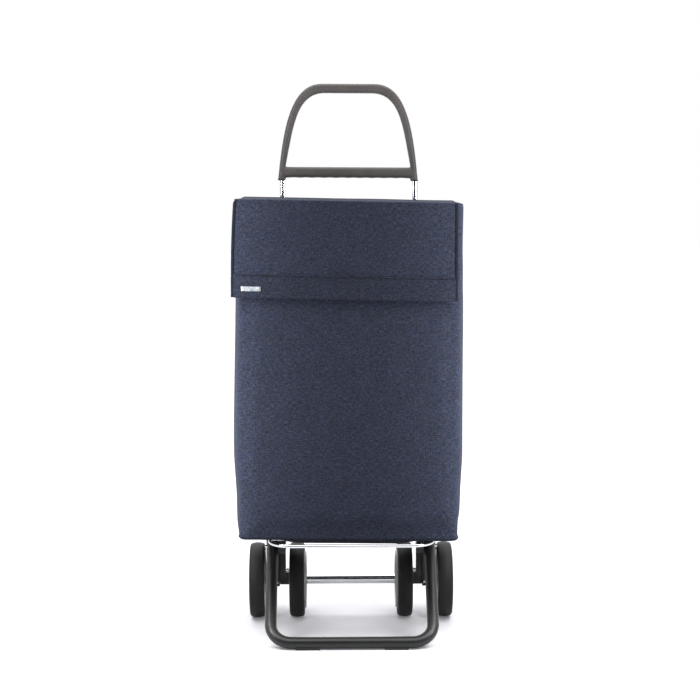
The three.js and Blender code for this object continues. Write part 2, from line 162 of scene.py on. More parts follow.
def mix_color(made, factor, a, b, blend="MIX"):
    mixed = node(made, "ShaderNodeMix", data_type="RGBA", blend_type=blend)
    for index, value in ((0, factor), (6, a), (7, b)):
        socket = mixed.inputs[index]
        if isinstance(value, bpy.types.NodeSocket):
            made.node_tree.links.new(value, socket)
        elif isinstance(value, tuple):
            socket.default_value = (*value, 1)
        else:
            socket.default_value = value
    return mixed.outputs[2]


def melange_fabric(name, color, thread=0.0011):
    """Plain-weave melange: warp and weft threads of uneven shade, with slubs, woven in UV metres."""
    made = material(name, color, 0.95, Sheen_Weight=0.08, Sheen_Roughness=0.45, Specular_IOR_Level=0.25)
    made.node_tree.nodes["Principled BSDF"].inputs["Sheen Tint"].default_value = (0.62, 0.68, 0.85, 1)
    uv = node(made, "ShaderNodeTexCoord").outputs["UV"]
    warp = node(made, "ShaderNodeMapping", {"Vector": uv, "Scale": (1 / thread, 300, 1)})
    weft = node(made, "ShaderNodeMapping", {"Vector": uv, "Scale": (220, 1 / thread, 1)})
    warp_shade = noise_value(made, warp.outputs["Vector"], 0.55, 3.0, 0.6)
    weft_shade = noise_value(made, weft.outputs["Vector"], 0.55, 3.0, 0.6)
    threads = math_node(made, "ADD", warp_shade, weft_shade)
    cloudy = noise_value(made, uv, 28.0, 3.0, 0.55)
    mixed = math_node(made, "ADD", math_node(made, "MULTIPLY", threads, 0.42),
                      math_node(made, "MULTIPLY", cloudy, 0.07))
    tone = ramp(made, mixed, [
        (0.335, shade(color, 0.35)),
        (0.455, color),
        (0.575, shade(color, 2.1)),
    ])
    grey = noise_value(made, uv, 75.0, 2.0)
    hue = ramp(made, grey, [(0.4, (1.0, 0.97, 0.93)), (0.6, (0.94, 1.0, 1.05))])
    link(made, mix_color(made, 1.0, tone, hue, "MULTIPLY"), "Base Color")
    cross = node(made, "ShaderNodeMapping", {"Vector": uv, "Scale": (math.pi / thread,) * 2 + (1,)})
    split = node(made, "ShaderNodeSeparateXYZ", {"Vector": cross.outputs["Vector"]})
    over = math_node(made, "SINE", split.outputs["X"])
    under = math_node(made, "SINE", split.outputs["Y"])
    weave = math_node(made, "MULTIPLY", over, under)
    fine = bump(made, weave, 0.35, 0.0004)
    slub = bump(made, threads, 0.3, 0.0006, fine)
    link(made, slub, "Normal")
    return made


def moulded_plastic(name, color, roughness, grain=2200.0, depth=0.25):
    """Injection-moulded plastic with fine spark-eroded grain and uneven gloss."""
    made = material(name, color, roughness)
    place = coordinates(made)
    grains = noise_value(made, place, grain, 2.0, 0.6)
    smears = noise_value(made, place, 22.0, 4.0, 0.6)
    link(made, ramp(made, smears, [(0.3, shade(color, 0.86)), (0.7, shade(color, 1.14))]), "Base Color")
    uneven_gloss(made, smears, 0.22, roughness - 0.11)
    link(made, bump(made, grains, depth, 0.0002), "Normal")
    return made


def polished_metal(name, color, roughness):
    """Bright chrome with faint draw lines and fingermarks in its gloss."""
    made = material(name, color, roughness, 1.0)
    place = coordinates(made)
    marks = noise_value(made, place, 35.0, 5.0, 0.65)
    uneven_gloss(made, marks, 0.10, roughness - 0.03)
    link(made, ramp(made, marks, [(0.35, shade(color, 0.93)), (0.65, color)]), "Base Color")
    lines = noise_value(made, coordinates(made, (900, 900, 12)), 1.0, 2.0)
    link(made, bump(made, lines, 0.03, 0.0001), "Normal")
    return made


def satin_paint(name, color):
    """Powder-coated tube: orange peel and slight dusting on a satin black coat."""
    made = material(name, color, 0.36, Coat_Weight=0.05, Coat_Roughness=0.25)
    place = coordinates(made)
    peel = noise_value(made, place, 700.0, 2.0)
    dust = noise_value(made, place, 14.0, 5.0, 0.6)
    link(made, ramp(made, dust, [(0.35, color), (0.7, shade(color, 1.35))]), "Base Color")
    uneven_gloss(made, dust, 0.2, 0.30)
    link(made, bump(made, peel, 0.12, 0.0003), "Normal")
    return made


def tyre_rubber(name, color):
    """Grey-black rubber with a dusty bloom and fine moulding grain."""
    made = material(name, color, 0.7, Specular_IOR_Level=0.35)
    place = coordinates(made)
    bloom = noise_value(made, place, 30.0, 5.0, 0.65)
    grains = noise_value(made, place, 1500.0, 2.0)
    link(made, ramp(made, bloom, [(0.3, color), (0.72, shade(color, 2.1))]), "Base Color")
    uneven_gloss(made, bloom, 0.25, 0.5)
    link(made, bump(made, grains, 0.3, 0.0002), "Normal")
    return made


NAVY = (0.0250, 0.0298, 0.0505)
FABRIC = melange_fabric("navy_melange", NAVY)
HEM_FABRIC = melange_fabric("navy_melange_hem", shade(NAVY, 0.86))
# Near-black lining for the fabric's inner faces; on the bag it also covers the underside of the foot as
# painted shade under the bag.
LINING_AND_UNDERSIDE_SHADE = melange_fabric("dark_lining_and_underside_shade", (0.012, 0.013, 0.018), 0.0007)
BINDING = melange_fabric("navy_binding", shade(NAVY, 0.42), 0.0008)
THREAD = melange_fabric("navy_thread", shade(NAVY, 0.16), 0.0005)
LABEL = melange_fabric("woven_label", (0.42, 0.43, 0.46), 0.0006)
CHARCOAL = moulded_plastic("charcoal_handle", (0.080, 0.0735, 0.070), 0.5, 1600.0, 0.4)
BLACK = moulded_plastic("black_moulding", (0.012, 0.012, 0.012), 0.46)
HUB_GREY = moulded_plastic("light_grey_hub", (0.55, 0.55, 0.54), 0.42)
BOARD = moulded_plastic("base_board_grain", (0.015, 0.015, 0.016), 0.7, 900.0, 0.5)
CHROME = polished_metal("bright_chrome", (0.86, 0.87, 0.88), 0.07)
STAND_BLACK = satin_paint("satin_black_paint", (0.009, 0.0095, 0.0095))
RUBBER = tyre_rubber("tyre_rubber", (0.006, 0.006, 0.006))


# -------------------- mesh helpers

def clamped(value, top=1.0):
    return min(max(value, 0.0), top)


def smooth_step(low_end, high_end, value):
    t = clamped((value - low_end) / (high_end - low_end))
    return t * t * (3 - 2 * t)


def between(start, end, count):
    return [start + (end - start) * i / count for i in range(count + 1)]


def finish_mesh(name, mesh, surface, body):
    made = bpy.data.objects.new(name, mesh)
    bpy.context.scene.collection.objects.link(made)
    mesh.materials.append(surface)
    for face in mesh.polygons:
        face.use_smooth = True
    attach(made, body)
    return made


def recalculated(name, vertices, faces):
    """A mesh whose faces all point out."""
    mesh = bpy.data.meshes.new(name)
    mesh.from_pydata([tuple(v) for v in vertices], [], faces)
    cleaned = bmesh.new()
    cleaned.from_mesh(mesh)
    bmesh.ops.remove_doubles(cleaned, verts=cleaned.verts, dist=1e-6)
    bmesh.ops.recalc_face_normals(cleaned, faces=cleaned.faces)
    cleaned.to_mesh(mesh)
    cleaned.free()
    return mesh


def apply_modifiers(piece):
    """Writes the piece's modifiers into its mesh."""
    bpy.context.view_layer.update()
    evaluated = piece.evaluated_get(bpy.context.evaluated_depsgraph_get())
    mesh = bpy.data.meshes.new_from_object(evaluated)
    piece.modifiers.clear()
    piece.data = mesh
    return piece


def add_modifier(piece, kind, **settings):
    modifier = piece.modifiers.new(kind.lower(), kind)
    for key, value in settings.items():
        setattr(modifier, key, value)
    return modifier


def skin_rings(rings, closed_ends=True, loop=False):
    """Faces over equal rings of points: returns (vertices, faces)."""
    sides = len(rings[0])
    vertices = [point for ring in rings for point in ring]
    faces = []
    spans = len(rings) if loop else len(rings) - 1
    for i in range(spans):
        near = i * sides
        far = ((i + 1) % len(rings)) * sides
        for j in range(sides):
            k = (j + 1) % sides
            faces.append((near + j, near + k, far + k, far + j))
    if closed_ends and not loop:
        faces.append(tuple(reversed(range(sides))))
        faces.append(tuple(range((len(rings) - 1) * sides, len(rings) * sides)))
    return vertices, faces


def joined(parts):
    """Several (vertices, faces) pairs as one."""
    vertices = []
    faces = []
    for part_vertices, part_faces in parts:
        faces += [tuple(len(vertices) + v for v in face) for face in part_faces]
        vertices += part_vertices
    return vertices, faces


def rounded_path(corners, radius, steps):
    """Points along straight runs joined by arcs of one radius."""
    corners = [Vector(c) for c in corners]
    points = [corners[0]]
    for before, corner, after in zip(corners, corners[1:], corners[2:]):
        back = (before - corner).normalized()
        onward = (after - corner).normalized()
        half = back.angle(onward) / 2
        setback = radius / math.tan(half)
        hub = corner + (back + onward).normalized() * (radius / math.sin(half))
        start = corner + back * setback - hub
        end = corner + onward * setback - hub
        turn = start.angle(end)
        for i in range(steps + 1):
            share = i / steps
            mixed = (start * math.sin((1 - share) * turn) + end * math.sin(share * turn))
            points.append(hub + mixed / math.sin(turn))
    points.append(corners[-1])
    return points


def tube_rings(points, radius, sides, first_normal):
    """Round rings square to a path, turned along it without twist."""
    rings = []
    normal = Vector(first_normal).normalized()
    for i, point in enumerate(points):
        before = points[max(i - 1, 0)]
        after = points[min(i + 1, len(points) - 1)]
        direction = (after - before).normalized()
        normal = (normal - direction * normal.dot(direction)).normalized()
        side = direction.cross(normal)
        r = radius(i) if callable(radius) else radius
        rings.append([
            point + normal * (r * math.cos(a)) + side * (r * math.sin(a))
            for a in (2 * math.pi * j / sides for j in range(sides))
        ])
    return rings


def swept_tube(name, points, radius, surface, body, sides=32, normal=(0, 0, 1)):
    mesh = recalculated(name, *skin_rings(tube_rings(points, radius, sides, normal)))
    return finish_mesh(name, mesh, surface, body)


def turned_rings(profile, axis_point, segments):
    """Rings of a profile of (along X, radius), turned about an axle along X."""
    return [
        [
            Vector((axis_point[0] + along,
                    axis_point[1] + radius * math.sin(a),
                    axis_point[2] + radius * math.cos(a)))
            for a in (2 * math.pi * j / segments for j in range(segments))
        ]
        for along, radius in profile
    ]


def turned_piece(name, profile, axis_point, surface, body, segments):
    """A closed profile turned about an axle along X."""
    mesh = recalculated(name, *skin_rings(turned_rings(profile, axis_point, segments), loop=True))
    return finish_mesh(name, mesh, surface, body)


def sharpen(piece, degrees=35):
    piece.data.set_sharp_from_angle(angle=math.radians(degrees))


def cubic(p0, p1, p2, p3, t):
    s = 1 - t
    return p0 * s ** 3 + p1 * (3 * s * s * t) + p2 * (3 * s * t * t) + p3 * t ** 3


def superellipse(across, along, exponent, sides):
    """Section points (a, b) of a rounded rectangle with those half sizes."""
    section = []
    for j in range(sides):
        angle = 2 * math.pi * j / sides
        c = math.cos(angle)
        s = math.sin(angle)
        section.append((
            across * math.copysign(abs(c) ** (2 / exponent), c),
            along * math.copysign(abs(s) ** (2 / exponent), s),
        ))
    return section


# -------------------- handle

HANDLE_DEPTH = 0.012      # half the grip's depth, front to back
HANDLE_HEIGHT = 0.184     # from the arch's feet to its top
GRIP_THICKNESS = 0.018    # of the arch at its top
BAR_TOP = 0.025           # the finger bar's edges above the arch's feet
BAR_BOTTOM = 0.004
BAR_HALF = 0.122
FINGER_WAVES = 10
WAVES_HALF = 0.115        # half the length that the finger waves take up
WAVE_RISE = 0.0006
SPIGOT = 0.03             # how far the grip's node reaches down into each tube

# The left half of the arch's two edges, as curve points (across, height above the feet).
OUTER_ARCH = ((-0.135, 0), (-0.1264, 0.0833), (-0.1156, HANDLE_HEIGHT), (-0.051, HANDLE_HEIGHT))
INNER_ARCH = ((-0.1205, BAR_TOP), (-0.1056, 0.1015),
              (-0.1001, HANDLE_HEIGHT - GRIP_THICKNESS), (-0.045, HANDLE_HEIGHT - GRIP_THICKNESS))
INNER_FOOT = -0.1206
ARCH_SAMPLES = 40
TOP_SAMPLES = 8


def handle_foot():
    return high("handle_grip").z - HANDLE_HEIGHT


def handle_outline():
    """Pairs of (outer, inner) points of the arch, from the left foot over the top to the right."""
    foot = handle_foot()
    outer = [Vector((x, foot + z)) for x, z in OUTER_ARCH]
    inner = [Vector((x, foot + z)) for x, z in INNER_ARCH]
    foot_share = 0.1
    left = [(outer[0], Vector((INNER_FOOT, foot))), (cubic(*outer, foot_share), inner[0])]
    for t in between(0, 1, ARCH_SAMPLES)[1:]:
        left.append((cubic(*outer, foot_share + (1 - foot_share) * t), cubic(*inner, t)))
    right = [(Vector((-a.x, a.y)), Vector((-b.x, b.y))) for a, b in reversed(left)]
    top = [
        (outer[3].lerp(right[0][0], share), inner[3].lerp(right[0][1], share))
        for share in between(0, 1, TOP_SAMPLES)[1:-1]
    ]
    return left + top + right


def handle_rings():
    section = superellipse(1.0, HANDLE_DEPTH, 3.2, 32)
    rings = []
    for outer, inner in handle_outline():
        middle = (outer + inner) / 2
        across = (outer - inner) / 2
        rings.append([
            Vector((middle.x + across.x * a, AXLE_Y + b, middle.y + across.y * a))
            for a, b in section
        ])
    return rings


def grip_bar_rings():
    """The finger bar, whose underside rises and falls with shallow finger waves."""
    top = handle_foot() + BAR_TOP
    bottom = handle_foot() + BAR_BOTTOM
    rings = []
    for x in between(-BAR_HALF, BAR_HALF, 160):
        turns = FINGER_WAVES * (x + WAVES_HALF) / (2 * WAVES_HALF)
        wave = abs(math.sin(math.pi * turns)) if abs(x) < WAVES_HALF else 0
        lowest = bottom + WAVE_RISE * wave ** 1.5
        middle = (top + lowest) / 2
        rings.append([
            Vector((x, AXLE_Y + b, middle + a))
            for a, b in superellipse((top - lowest) / 2, HANDLE_DEPTH * 0.97, 3.4, 28)
        ])
    return rings


def make_handle():
    vertices, faces = joined([skin_rings(handle_rings()), skin_rings(grip_bar_rings())])
    mesh = bpy.data.meshes.new("handle")
    mesh.from_pydata([tuple(v) for v in vertices], [], faces)
    handle = finish_mesh("handle", mesh, CHARCOAL, "frame")
    add_modifier(handle, "REMESH", mode="VOXEL", voxel_size=0.0013, use_smooth_shade=True)
    add_modifier(handle, "SMOOTH", factor=0.5, iterations=4)
    apply_modifiers(handle)
    set_askew(handle)
    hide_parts("handle_grip")
    arch_foot = low("handle_grip").z + SPIGOT
    for name, sign in SIDES.items():
        place = (sign * 0.1279, AXLE_Y)
        lip_mesh = rounded_ring_z(place, (0.0074, 0.0108), arch_foot - 0.0012, arch_foot + 0.003)
        lip = finish_mesh(f"handle_lip_{name}", lip_mesh, BLACK, "frame")
        set_askew(lip)


def set_askew(piece):
    """The handle is pushed on slightly to the left and turned a fraction of a degree."""
    pivot = Vector((0, AXLE_Y, high("handle_grip").z - 0.1))
    to_left = Vector((-0.0024, 0, 0))
    turn = Matrix.Rotation(math.radians(0.5), 4, "Y")
    piece.data.transform(Matrix.Translation(pivot + to_left) @ turn @ Matrix.Translation(-pivot))


def rounded_ring_z(place, half_sizes, bottom, top, sides=40, edge=0.0008):
    """A flat collar along Z with a rounded-rectangle outline and softened edges."""
    rings = []
    for z, inset in ((bottom, edge), (bottom + edge, 0), (top - edge, 0), (top, edge)):
        rings.append([
            Vector((place[0] + a, place[1] + b, z))
            for a, b in superellipse(half_sizes[0] - inset, half_sizes[1] - inset, 3.0, sides)
        ])
    return recalculated("collar", *skin_rings(rings))


# -------------------- frame

TUBE_LEAN = -0.0015       # how far the tubes' tops stand to the left of their feet


def make_bar(bar, body, sides):
    """A bright round bar that runs across the trolley."""
    y, z = centre(bar).y, centre(bar).z
    ends = [Vector((x, y, z)) for x in (low(bar).x, high(bar).x)]
    made = swept_tube(f"bright_{bar}", ends, half_z(bar), CHROME, body, sides)
    sharpen(made)
    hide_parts(bar)


def make_frame():
    for name in SIDES:
        tube = f"tube_{name}"
        x = centre(tube).x
        ends = [Vector((x, AXLE_Y, low(tube).z)), Vector((x + TUBE_LEAN, AXLE_Y, high(tube).z))]
        made = swept_tube(f"bright_{tube}", ends, half_x(tube), CHROME, "frame", 48,
                          (1, 0, 0))
        sharpen(made)
        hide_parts(tube)
    make_bar("upper_crossbar", "frame", 40)
    make_bar("lower_crossbar", "frame", 40)


def make_platform():
    """One bent wire: two short ends at the hinge, two side runs and the front run."""
    loop = "platform_loop"
    radius = half_z(loop)
    height = centre(loop).z
    side = high(loop).x - radius
    front = low(loop).y + radius
    back = high(loop).y - 0.0035
    end_length = 0.027
    inner = side - end_length
    elbow = 0.006
    corner = 0.044
    left_bends = [(-inner, back, height), (-side, back, height), (-side, front + corner, height)]
    front_bends = [(-side, back - elbow, height), (-side, front, height),
                   (side, front, height), (side, back - elbow, height)]
    left = rounded_path(left_bends, elbow, 8)
    middle = rounded_path(front_bends, corner, 20)
    right = [Vector((-p.x, p.y, p.z)) for p in reversed(left)]
    points = left[:-1] + middle[1:-1] + right[1:]
    wire = swept_tube("platform_wire", points, radius, CHROME, "platform", 28)
    sharpen(wire, 50)
    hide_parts(loop)
    make_bar("platform_rung_front", "platform", 20)
    make_bar("platform_rung_rear", "platform", 20)


def make_stand():
    """The foot: one tube bent into a U, from one stand pin down to the floor and up to the other."""
    radius = 0.011
    half = high("stand_tube").x - radius
    pin = centre("stand_pin_right")
    bar = Vector((0, low("stand_tube").y + radius, low("stand_tube").z + radius))
    direction = Vector((0, bar.y - pin.y, bar.z - pin.z)).normalized()
    tops = {sign: Vector((sign * half, pin.y, pin.z)) - direction * radius for sign in (-1, 1)}
    feet = {sign: Vector((sign * half, bar.y, bar.z)) for sign in (-1, 1)}
    bend = 0.040
    points = rounded_path([tops[-1], feet[-1], feet[1], tops[1]], bend, 24)
    stand = swept_tube("stand_bow", points, radius, STAND_BLACK, "stand", 40, (1, 0, 0))
    sharpen(stand, 50)
    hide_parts("stand_tube")


# -------------------- wheels

SPOKES = 6
TYRE_SHOULDER = 0.0062    # radius of the tyre's rounded shoulders
TREAD_CROWN = 0.0011      # how much lower the tread is at its edges
BORE = 0.0053
BOSS = 0.014              # radius of the boss round the axle
HUB_PROUD = 0.0002        # how far the hub stands out from the tyre's side


def tyre_profile(half, radius, rim):
    """A tyre's section as (along the axle, radius): side wall, shoulder, crowned tread and back."""
    flat = half - TYRE_SHOULDER
    side = [(-half + 0.0006, rim), (-half, rim + 0.002)]
    for a in between(0, math.pi / 2, 6)[:-1]:
        along = -half + TYRE_SHOULDER * (1 - math.cos(a))
        side.append((along, radius - TREAD_CROWN - TYRE_SHOULDER * (1 - math.sin(a))))
    tread = [(along, radius - TREAD_CROWN * (along / flat) ** 2) for along in between(-flat, flat, 10)]
    return side + tread + [(-along, r) for along, r in reversed(side)]


def make_tyre(name, body):
    tyre = f"tyre_{name}"
    profile = tyre_profile(half_x(tyre), half_z(tyre), half_z(f"hub_{name}"))
    made = turned_piece(f"rubber_{tyre}", profile, centre(tyre), RUBBER, body, 128)
    sharpen(made, 60)
    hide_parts(tyre)


def rim_side(half, rim, collar):
    """One side of the rim's section: its face with a raised collar, and the edge of the tyre's seat."""
    face = half + HUB_PROUD
    return [(face, rim - 0.009), (face + collar, rim - 0.008), (face + collar, rim - 0.0035),
            (face, rim - 0.0012), (half - 0.001, rim - 0.0003)]


def boss_side(end):
    """One side of the boss's section, from the bore to the bulge in its middle."""
    return [(end, BORE), (end, BOSS - 0.003), (end - 0.002, BOSS), (0.006, BOSS + 0.003)]


def two_sided(left, right):
    """A section from its two sides, each given from its outer end to the middle."""
    return [(-along, radius) for along, radius in left] + right[::-1]


def make_hub(name, body):
    """A spoked hub. The inner wheels have a raised collar facing each other, and the outer ones sink
    their bosses for the caps."""
    hub = f"hub_{name}"
    place = centre(f"tyre_{name}")
    half = half_x(f"tyre_{name}")
    rim = half_z(hub)
    outward = -1 if name.endswith("left") else 1
    is_inner = name.startswith("inner")
    face = half + HUB_PROUD
    collar = {-outward: 0.0030 if is_inner else 0.0004, outward: 0.0004}
    boss_end = {-outward: face, outward: face if is_inner else 0.0083}
    rim_section = two_sided(rim_side(half, rim, collar[-1]), rim_side(half, rim, collar[1]))
    rim_section += [(0.004, rim - 0.012), (-0.004, rim - 0.012)]
    boss_section = two_sided(boss_side(boss_end[-1]), boss_side(boss_end[1]))
    parts = [skin_rings(turned_rings(rim_section, place, 128), loop=True),
             skin_rings(turned_rings(boss_section, place, 64), loop=True)]
    for spoke in range(SPOKES):
        parts.append(skin_rings(spoke_rings(place, 2 * math.pi * spoke / SPOKES, rim)))
    mesh = recalculated("hub", *joined(parts))
    made = finish_mesh(f"spoked_{hub}", mesh, HUB_GREY, body)
    sharpen(made, 40)
    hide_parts(hub)


def spoke_rings(place, angle, rim):
    """A spoke from boss to rim with an oval section that widens towards both ends."""
    outward = Vector((0, math.sin(angle), math.cos(angle)))
    across = Vector((0, math.cos(angle), -math.sin(angle)))
    section = superellipse(0.0052, 0.0085, 2.6, 20)
    rings = []
    for share in between(0, 1, 8):
        flare = 1 + 0.9 * (2 * share - 1) ** 4
        reach = (BOSS - 0.001) * (1 - share) + (rim - 0.0105) * share
        middle = place + outward * reach
        rings.append([middle + across * (a * flare) + Vector((b, 0, 0)) for a, b in section])
    return rings


# -------------------- CAD nodes kept as they are

KEPT_PAIRS = {
    BLACK: ["hanger_clip", "bracket", "axle_spacer", "axle_cap", "stand_plug", "foot_glide", "carrier_arm"],
    CHROME: ["axle", "axle_screw", "carrier_pin", "stand_pin", "stop_pin"],
}
EDGE_WIDTHS = {"bracket": 0.0016, "carrier_arm": 0.0025, "hanger_clip": 0.0012, "axle_cap": 0.0014}
PLAIN_EDGE = 0.0004


def dress_node(name, surface, edge_width):
    """Gives a CAD node its material and softened edges."""
    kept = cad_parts[name]
    kept.data.materials.clear()
    kept.data.materials.append(surface)
    for face in kept.data.polygons:
        face.use_smooth = True
    add_modifier(kept, "WELD", merge_threshold=1e-5)
    add_modifier(kept, "DECIMATE", decimate_type="DISSOLVE", angle_limit=math.radians(1.0))
    add_modifier(kept, "BEVEL", width=edge_width, segments=3, limit_method="ANGLE",
                 angle_limit=math.radians(40), use_clamp_overlap=True)
    add_modifier(kept, "WEIGHTED_NORMAL", keep_sharp=False)


def dress_kept_nodes():
    for surface, parts in KEPT_PAIRS.items():
        for part in parts:
            for side in SIDES:
                dress_node(f"{part}_{side}", surface, EDGE_WIDTHS.get(part, PLAIN_EDGE))
    dress_node("inner_axle", CHROME, PLAIN_EDGE)


def make_sleeve():
    sleeve = "inner_sleeve"
    radius = half_z(sleeve)
    place = centre(sleeve)
    half = high(sleeve).x
    profile = [(-half, 0.0056), (-half, radius - 0.0012), (-half + 0.0012, radius),
               (half - 0.0012, radius), (half, radius - 0.0012), (half, 0.0056)]
    made = turned_piece("bright_inner_sleeve", profile, place, CHROME, "carrier", 64)
    sharpen(made, 30)
    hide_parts(sleeve)


# -------------------- soft pieces

BAG_CORNER = 0.013        # radius of the bag's upright corners
BAG_GRID = 0.011          # spacing of the points round the bag
FABRIC_THICKNESS = 0.0022
SETTLE_FRAMES = 16
LID_SLOPE = 0.0215        # how much the lid falls for each metre to the right
FOOT_SLOPE = 0.0114
SLOPE_GAIN = 0.0120       # added to the foot's slope from the bag's foot up to the hem
BELLY_DEPTH = 0.0062      # how far the bag's bottom hangs down towards its front

# How far the cloth simulation may move the fabric, and the height from which it is held still.
WALL_SLACK = 0.0035
BACK_SLACK = 0.0012
FOOT_SLACK = 0.0015
HELD_ABOVE = 0.80


def squash_with_platform(piece):
    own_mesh(piece)


def bag_middle(z):
    """The hanging bag sits a little to the left, more so towards its foot."""
    return -0.0058 + 0.0035 * smooth_step(0.36, 0.68, z)


def bag_half_width(z):
    """Half the bag's width: fullest a third of the way up, narrow at its foot."""
    return 0.2042 + 0.0046 * smooth_step(0.26, 0.37, z) - 0.0025 * smooth_step(0.37, 0.66, z)


def lid_height(x, y):
    """Height of the lid's upper face, which slopes down to the right and slightly to the back."""
    back_share = clamped((y - BAG_FRONT) / (BAG_BACK - BAG_FRONT))
    return LID_TOP + 0.0004 - 0.0012 * back_share - LID_SLOPE * x


def settled_height(x, y, z):
    """Where a point at height z of the straight bag comes to rest: everything sinks to the right."""
    slope = FOOT_SLOPE + SLOPE_GAIN * smooth_step(BAG_BOTTOM, HEM_TOP, z)
    top_share = clamped((z - HEM_TOP) / (LID_TOP - HEM_TOP))
    return z - slope * x * (1 - top_share) + (lid_height(x, y) - LID_TOP) * top_share


def weave_uv(mesh):
    """UVs in metres, so that warp and weft run straight along every panel."""
    layer = mesh.uv_layers.new(name="weave")
    for face in mesh.polygons:
        facing = [abs(c) for c in face.normal]
        across, along = ((1, 2), (0, 2), (0, 1))[facing.index(max(facing))]
        for corner in face.loop_indices:
            place = mesh.vertices[mesh.loops[corner].vertex_index].co
            layer.data[corner].uv = (place[across], place[along])


def rounded_rectangle(half_width, back, front, radius, spacing):
    """Points around a plan rectangle with rounded corners, evenly spaced along the straights."""
    corners = [(half_width, back), (half_width, front), (-half_width, front), (-half_width, back)]
    arc_steps = 4
    points = []
    for i, (x, y) in enumerate(corners):
        hub = Vector((x - math.copysign(radius, x), y + (radius if y == front else -radius), 0))
        for step in range(arc_steps + 1):
            angle = math.pi / 2 * (1 - i - step / arc_steps)
            points.append(hub + Vector((math.cos(angle), math.sin(angle), 0)) * radius)
        following = corners[(i + 1) % 4]
        run = Vector((following[0] - x, following[1] - y, 0))
        straight = run.length - 2 * radius
        count = max(1, round(straight / spacing))
        start = points[-1]
        points += [start + run.normalized() * step for step in between(0, straight, count)[1:-1]]
    return points


def inward(point, middle_y, distance, height):
    """A plan point moved towards the bag's middle, at another height."""
    x = math.copysign(max(abs(point.x) - distance, 0.0), point.x)
    depth = point.y - middle_y
    return Vector((x, middle_y + math.copysign(max(abs(depth) - distance, 0.0), depth), height))


def bag_outline():
    return rounded_rectangle(BAG_HALF, BAG_BACK - 0.0005, BAG_FRONT + 0.0015, BAG_CORNER, BAG_GRID)


def bag_mesh():
    """The bag as one open-topped sheet: walls with rounded corners, a rounded foot and a bottom."""
    outline = bag_outline()
    foot = BAG_BOTTOM - 0.0002
    edge = 0.006
    rings = [[Vector((p.x, p.y, z)) for p in outline] for z in between(BAG_TOP, foot + edge, 55)]
    for step in (1, 2, 3):
        angle = math.pi / 6 * step
        inset, rise = edge * (1 - math.cos(angle)), edge * (1 - math.sin(angle))
        rings.append([inward(p, BAG_MIDDLE, inset, foot + rise) for p in outline])
    bottom_depth = (BAG_BACK - BAG_FRONT) / 2 - 0.002
    for inset in between(edge, bottom_depth, 9)[1:]:
        rings.append([inward(p, BAG_MIDDLE, inset, foot) for p in outline])
    vertices, faces = skin_rings(rings, closed_ends=False)
    sides = len(outline)
    faces.append(tuple(range(len(vertices) - sides, len(vertices))))
    return recalculated("bag_shell", vertices, faces)


def relax_cloth(piece, slack, pressure):
    """Settles a piece with a short cloth simulation; no point moves further than its slack."""
    before = [v.co.copy() for v in piece.data.vertices]
    pins = piece.vertex_groups.new(name="pins")
    pinned = [i for i, place in enumerate(before) if slack(place) <= 0]
    pins.add(pinned, 1.0, "REPLACE")
    cloth = piece.modifiers.new("cloth", "CLOTH")
    cloth.settings.vertex_group_mass = "pins"
    cloth.settings.use_pressure = True
    cloth.settings.uniform_pressure_force = pressure
    cloth.settings.quality = 4
    cloth.settings.tension_stiffness = 40
    cloth.settings.bending_stiffness = 8
    cloth.settings.mass = 0.25
    cloth.settings.effector_weights.gravity = 0.0
    cloth.point_cache.frame_end = SETTLE_FRAMES + 1
    scene = bpy.context.scene
    for step in range(1, SETTLE_FRAMES + 1):
        scene.frame_set(step)
    evaluated = piece.evaluated_get(bpy.context.evaluated_depsgraph_get())
    after = [v.co.copy() for v in evaluated.data.vertices]
    piece.modifiers.clear()
    scene.frame_set(1)
    for v, start, end in zip(piece.data.vertices, before, after):
        limit = slack(start)
        move = end - start
        if limit > 0 and move.length > 0:
            v.co = start + move.normalized() * (limit * math.tanh(move.length / limit))


def bag_slack(place):
    """How far the fabric may belly out: nothing at the rim, little at the back and the bottom."""
    if place.z > HELD_ABOVE:
        return 0.0
    if place.y > BAG_BACK - 0.004:
        return BACK_SLACK
    if place.z < BAG_BOTTOM + 0.004:
        return FOOT_SLACK
    return WALL_SLACK * (1 - smooth_step(0.60, HELD_ABOVE, place.z))


def settled_bag_place(place):
    """The bag's resting shape: its foot drawn in, its front edge bellied down, its top leaning."""
    x = bag_middle(place.z) + place.x * bag_half_width(place.z) / BAG_HALF
    low_part = 1 - smooth_step(BAG_BOTTOM + 0.004, BAG_BOTTOM + 0.03, place.z)
    across = 1 - smooth_step(0.102, 0.122, abs(x + 0.0055))
    behind_edge = smooth_step(BAG_FRONT + 0.002, BAG_FRONT + 0.009, place.y)
    ahead_of_middle = 1 - smooth_step(-0.12, -0.05, place.y)
    belly = BELLY_DEPTH * low_part * across * behind_edge * ahead_of_middle
    return Vector((x, place.y, settled_height(x, place.y, place.z) - belly))


def make_bag():
    bag = finish_mesh("bag_shell", bag_mesh(), FABRIC, "frame")
    relax_cloth(bag, bag_slack, 1.5)
    for v in bag.data.vertices:
        v.co = settled_bag_place(v.co)
    weave_uv(bag.data)
    # The downward faces at the bag's foot take the near-black lining colour: painted shade under the bag,
    # whose bottom is the same navy fabric.
    bag.data.materials.append(LINING_AND_UNDERSIDE_SHADE)
    for face in bag.data.polygons:
        if face.normal.z < -0.35 and face.center.z < BAG_BOTTOM + 0.02:
            face.material_index = 1
    add_modifier(bag, "SUBSURF", levels=1, render_levels=1)
    add_modifier(bag, "SOLIDIFY", thickness=FABRIC_THICKNESS, offset=-1.0, material_offset=1)
    apply_modifiers(bag)
    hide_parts("bag_front", "bag_back", "bag_side_left", "bag_side_right", "bag_bottom")
    squash_with_platform(bag)


